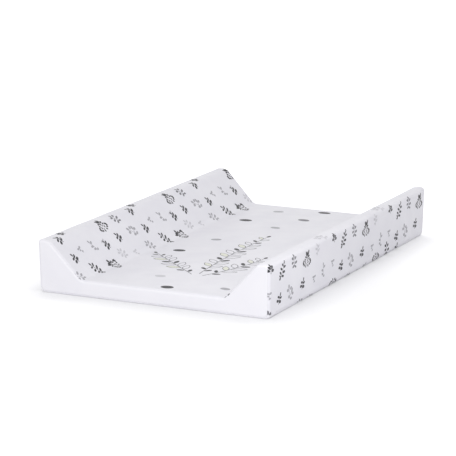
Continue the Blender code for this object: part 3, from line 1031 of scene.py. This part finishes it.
for panel_name, end in (("front_end_panel", -1), ("rear_end_panel", 1)):
    shares = joined(spaced(0, RIM_FINE_SHARE, 0.05), spaced(RIM_FINE_SHARE, 1, 0.17))
    rows = shares if end > 0 else shares[::-1]
    around = len(rim_run)
    rim_across, share = grid(rim_run, rows).T
    rim_start = end_seam(rim_across) + SEAM_GAP
    rim_along = rim_start + share * (FLAT_HALF_LENGTH + END_ROLL_RADIUS * math.pi / 2 - rim_start)
    rim_points = film_surface(rim_across, end * rim_along)
    last_ring = 0 if end < 0 else (len(rows) - 1) * around
    outline = rim_points[last_ring : last_ring + around]
    face_points, triangles, sources = panel_face(outline, end)
    numbers = []
    extra = []
    for point, origins in zip(face_points, sources):
        on_outline = [last_ring + origin for origin in origins if origin < around]
        if not on_outline:
            extra.append(point)
        numbers.append(on_outline[0] if on_outline else len(rim_points) + len(extra) - 1)
    closing = [tuple(numbers[vertex] for vertex in triangle) for triangle in triangles]
    if end > 0:
        closing = [tuple(reversed(triangle)) for triangle in closing]
    panel_points = np.vstack([rim_points, extra])
    panel_faces = ring_faces(len(rows), around) + closing
    panel_normals = area_normals(panel_points, panel_faces)
    panel = shell(panel_name + "_film", panel_points, panel_normals, panel_faces, white_film)
    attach(panel, "root")
    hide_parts(panel_name)


# Bottom cover
# The same white film underneath the board, turned up round both long edges to the side seams, which
# climb towards the corners. Three small round vents are punched at each end to let the air out.
VENT_RADIUS = 0.003
VENT_SIDES = 24
VENT_SPACING = 0.030
VENT_FROM_END = 0.060
VENT_CLEAR = 1.3
UNDER_STEP = 0.012
UNDER_BAND_STEP = 0.0015
UNDER_FROM_SIDE = 0.004

FLAT_UNDER = HALF_GIRTH - EDGE_FOOT
UNDER_EDGE = BOTTOM_EDGE_RADIUS * SEAM_ANGLE_AT_CORNER


def from_under_place(place, along):
    """Section distance of a place on the underside, + to the right, with the turned-up edge in full."""
    share = np.clip((np.abs(place) - FLAT_UNDER) / UNDER_EDGE, 0, 1)
    from_middle = np.minimum(np.abs(place), FLAT_UNDER) + share * (EDGE_FOOT - side_seam(along))
    return np.where(place >= 0, 1, -1) * (HALF_GIRTH - from_middle)


under_band = joined(
    spaced(FLAT_UNDER, FLAT_UNDER + UNDER_EDGE - SEAM_NEAR, UNDER_BAND_STEP),
    spaced(FLAT_UNDER + UNDER_EDGE - SEAM_NEAR, FLAT_UNDER + UNDER_EDGE - SEAM_GAP, SEAM_STEP),
)
under_columns = mirrored(spaced(0, FLAT_UNDER - UNDER_FROM_SIDE, UNDER_STEP))
under_rows = mirrored(spaced(0, FLAT_HALF_LENGTH - MIDDLE_FROM_END, UNDER_STEP))
under_places = np.vstack(
    [
        grid(under_columns, under_rows),
        grid(mirrored(spaced(0, FLAT_UNDER - FINE, FINE)), END_ROWS),
        grid(under_band, FINE_ROWS),
        grid(-under_band, FINE_ROWS),
    ]
)
vents = []
for end in (-1, 1):
    for number in (-1, 0, 1):
        centre = np.array([number * VENT_SPACING, end * (MAT_LENGTH / 2 - VENT_FROM_END)])
        gap = np.linalg.norm(under_places - centre, axis=1)
        under_places = under_places[gap > VENT_RADIUS * VENT_CLEAR]
        corners = np.linspace(0, 2 * math.pi, VENT_SIDES + 1)[:-1]
        vents.append(centre + VENT_RADIUS * np.stack([np.cos(corners), np.sin(corners)], axis=-1))
under_points, under_faces, punched = triangulate(under_places, vents)
under_faces = [tuple(reversed(face)) for face, inside in zip(under_faces, punched) if not inside]
under_across = from_under_place(under_points[:, 0], under_points[:, 1])
bottom_cover = shell(
    "bottom_cover_film",
    film_surface(under_across, under_points[:, 1]),
    facing(film_surface, under_across, under_points[:, 1]),
    under_faces,
    white_film,
)
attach(bottom_cover, "root")
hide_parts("bottom_cover")


# Floor and light
# A plain white sweep in a bright room, under one broad soft light from in front and a smaller soft one
# near the front right corner. The sweep is only just white by itself, so that the mat's shadow stays.
# Its glow also fades beside the mat, a painted shadow on top of the real one.
FLOOR_SIZE = 16
FLOOR_DROP = 0.0003
FLOOR_COLOUR = "e0e0e2"
LAMP_POOL = (0.22, -0.25, 0)
FLOOR_GLOW_NEAR = 0.20
FLOOR_GLOW_FAR = 0.82
GLOW_FAR_RADIUS = 1.5
# The floor's painted shadow: how far it reaches, the slant it is measured on, and how deep it goes
SHADOW_REACH = 0.07
SHADOW_LEAN = Vector((-0.25, 0.66, 0.71))
LEAST_OPEN = 0.5
LEAST_GLOW = 0.45
ROOM_LIGHT = 0.82
SOFT_SUN_POWER = 0.85
SOFT_SUN_SPREAD = math.radians(40)
SOFT_SUN_FROM = Vector((0.05, -1.0, 0.24))
NEAR_LIGHT_POWER = 0.78
NEAR_LIGHT_SIZE = 0.4
NEAR_LIGHT_PLACE = Vector((0.53, -0.50, 0.46))


def white_when_seen(owner):
    """1 for rays from the camera, from gloss and through clear stuff, and 0 for the light on the object."""
    path = add_node(owner, "LightPath")
    seen = path.outputs["Is Camera Ray"]
    for other in ("Is Glossy Ray", "Is Transmission Ray"):
        either = add_node(owner, "Math", {0: seen, 1: path.outputs[other]}, operation="MAXIMUM")
        seen = either.outputs[0]
    return seen


bpy.ops.mesh.primitive_plane_add(size=FLOOR_SIZE, location=(0, 0, -FLOOR_DROP))
floor = bpy.context.object
floor.name = "floor"
sweep = bpy.data.materials.new("white_sweep")
sweep.use_nodes = True
sweep.node_tree.nodes.clear()
place = add_node(sweep, "TexCoord").outputs["Object"]
from_pool = add_node(sweep, "VectorMath", {"Vector": place}, operation="DISTANCE")
from_pool.inputs[1].default_value = LAMP_POOL
glow_span = {"From_Max": GLOW_FAR_RADIUS, "To_Min": FLOOR_GLOW_NEAR, "To_Max": FLOOR_GLOW_FAR}
glow_level = add_node(sweep, "MapRange", {"Value": from_pool.outputs["Value"]}, **glow_span)
# How open the floor is gets measured on a slant to the rear and the left, where the mat stands as seen
# from the floor in front of it and to its right. There the glow fades most, a painted shadow beside the mat.
leant = add_node(sweep, "CombineXYZ", X=SHADOW_LEAN.x, Y=SHADOW_LEAN.y, Z=SHADOW_LEAN.z)
open_sky = add_node(sweep, "AmbientOcclusion", {"Normal": leant.outputs["Vector"]}, Distance=SHADOW_REACH)
open_span = {"From_Min": LEAST_OPEN, "To_Min": LEAST_GLOW}
# Painted shadow: the glow falls to LEAST_GLOW of itself where the floor is least open
painted_shadow_share = add_node(sweep, "MapRange", {"Value": open_sky.outputs["AO"]}, **open_span)
strength = white_when_seen(sweep)
for factor in (glow_level, painted_shadow_share):
    product = add_node(sweep, "Math", {0: strength, 1: factor.outputs["Result"]}, operation="MULTIPLY")
    strength = product.outputs[0]
paint = add_node(sweep, "BsdfDiffuse", Color=linear(FLOOR_COLOUR))
glow = add_node(sweep, "Emission", {"Strength": strength})
together = add_node(sweep, "AddShader", {0: paint.outputs[0], 1: glow.outputs[0]})
add_node(sweep, "OutputMaterial", {"Surface": together.outputs[0]})
floor.data.materials.append(sweep)

room = bpy.data.worlds.new("room")
room.use_nodes = True
bpy.context.scene.world = room
room.node_tree.nodes.clear()
room_level = add_node(room, "MapRange", {"Value": white_when_seen(room)}, To_Min=ROOM_LIGHT, To_Max=1.0)
backdrop = add_node(room, "Background", {"Strength": room_level.outputs["Result"]}, Color=(1, 1, 1, 1))
add_node(room, "OutputWorld", {"Surface": backdrop.outputs[0]})


def soft_light(name, kind, power, source):
    """A light that shines from its place towards the mat."""
    made = bpy.data.objects.new(name, bpy.data.lights.new(name, kind))
    bpy.context.scene.collection.objects.link(made)
    made.data.energy = power
    made.location = source
    made.rotation_mode = "QUATERNION"
    made.rotation_quaternion = (-source).to_track_quat("-Z", "Y")
    made.visible_camera = False
    return made


soft_light("soft_sun", "SUN", SOFT_SUN_POWER, SOFT_SUN_FROM).data.angle = SOFT_SUN_SPREAD
soft_light("near_light", "AREA", NEAR_LIGHT_POWER, NEAR_LIGHT_PLACE).data.size = NEAR_LIGHT_SIZE

bpy.context.scene.view_settings.view_transform = "Standard"
